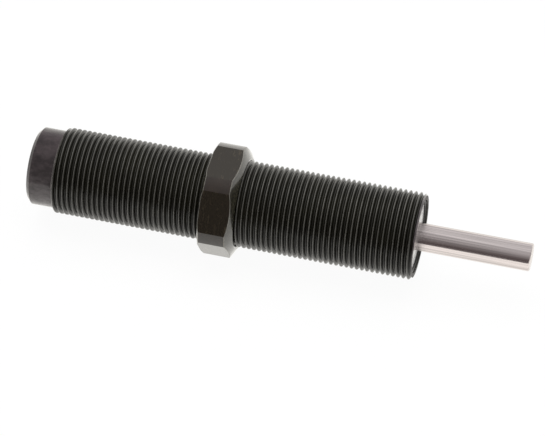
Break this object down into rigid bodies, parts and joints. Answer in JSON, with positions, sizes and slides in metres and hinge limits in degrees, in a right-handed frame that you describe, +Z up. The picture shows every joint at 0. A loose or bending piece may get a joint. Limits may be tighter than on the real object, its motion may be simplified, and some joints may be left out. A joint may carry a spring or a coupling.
{
  "type": "industrial shock absorber",
  "caption": "Small self-compensating hydraulic shock absorber with a threaded black body, a thin hexagon lock nut, a ground piston rod and a spring return.",
  "frame": {"origin": "centre of the body's front face, on the axis of the rod", "axes": "+X along the axis out of the front end, towards the rod tip; +Z up, with one flat of the lock nut facing straight down; the part lies on that flat"},
  "size_m": [0.145, 0.0324, 0.03],
  "materials": {
    "blackened_steel": "black oxide, satin",
    "blackened_nut": "black oxide, satin, finely turned",
    "dark_wire": "phosphated wire",
    "bright_steel": "turned bright",
    "ground_steel": "hardened and ground",
    "hard_steel": "hardened, turned",
    "spring_steel": "drawn spring wire",
    "bronze": "sintered bronze",
    "black_rubber": "moulded nitrile rubber",
    "red_seal": "moulded polyurethane",
    "grey_foam": "closed-cell foam"
  },
  "bodies": {
    "barrel": {"outer_body": "blackened_steel", "retaining_ring": "dark_wire", "front_gland": "bright_steel", "rod_wiper": "red_seal", "rod_bearing": "bronze", "rod_seal": "black_rubber", "seal_washer": "hard_steel", "gland_o_ring": "black_rubber", "tube_head": "hard_steel", "pressure_tube": "hard_steel", "accumulator_foam": "grey_foam", "return_spring": "spring_steel", "spring_seat": "hard_steel", "fill_ball": "bright_steel", "fill_screw": "blackened_nut"},
    "rod": {"piston_rod": "ground_steel", "piston": "hard_steel", "piston_nut": "hard_steel"},
    "check_ring": {"check_ring": "bronze"},
    "nut": {"lock_nut": "blackened_nut"}
  },
  "joints": [
    {"name": "rod_stroke", "type": "slide", "parent": "barrel", "child": "rod", "axis": [1, 0, 0], "range_m": [-0.025, 0], "stiffness_N_per_m": 720, "springref_m": 0.018, "deforming": ["return_spring"]},
    {"name": "check_float", "type": "slide", "parent": "rod", "child": "check_ring", "axis": [1, 0, 0], "range_m": [-0.0005, 0]},
    {"name": "nut_travel", "type": "slide", "parent": "barrel", "child": "nut", "axis": [1, 0, 0], "range_m": [-0.042, 0.048]}
  ]
}
